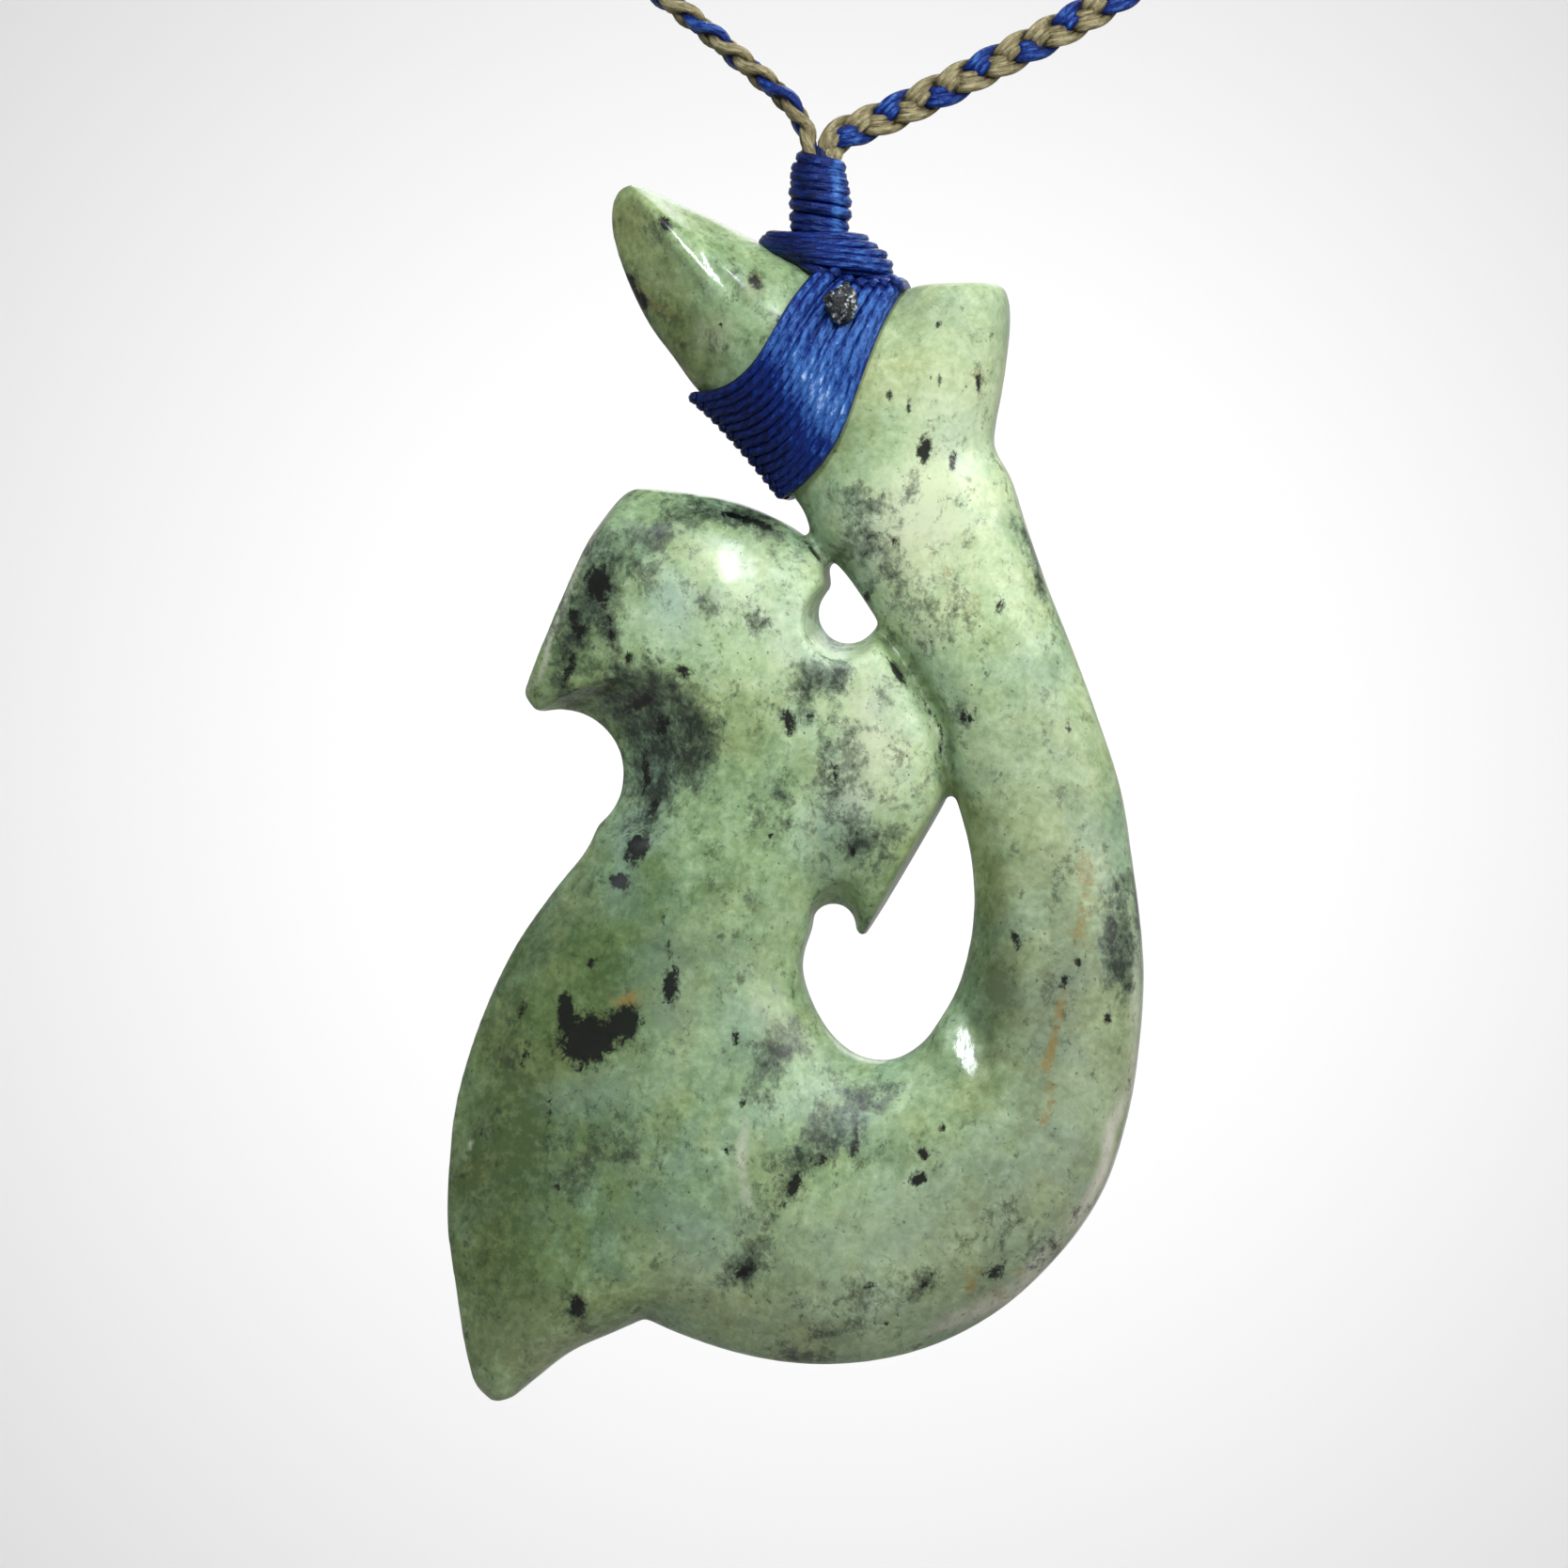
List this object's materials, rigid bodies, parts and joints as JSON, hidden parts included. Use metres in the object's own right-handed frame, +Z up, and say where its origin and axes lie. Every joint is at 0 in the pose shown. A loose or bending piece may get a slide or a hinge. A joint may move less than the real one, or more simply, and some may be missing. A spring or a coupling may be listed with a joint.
{
  "type": "jade hammerhead shark pendant",
  "caption": "Carved jade hook in the form of a hammerhead shark, lashed to a plaited neck cord that forms a closed loop.",
  "frame": {"origin": "the nape: the middle of the braid where the loop rests on the back of the neck", "axes": "+Z up, -Y the way the pendant faces, +X the wearer's left"},
  "size_m": [0.1446, 0.1759, 0.2776],
  "materials": {
    "jade": "polished mottled green stone",
    "blue_thread": "waxed thread, soft sheen",
    "tan_thread": "waxed thread, soft sheen",
    "sealed_end": "melted and glossy"
  },
  "bodies": {
    "root": {"jade_hook": "jade", "shank_lashing": "blue_thread", "collar_wrap": "blue_thread", "neck_whipping": "blue_thread", "sealed_cord_end": "sealed_end", "neck_braid": "tan_thread"}
  },
  "joints": []
}
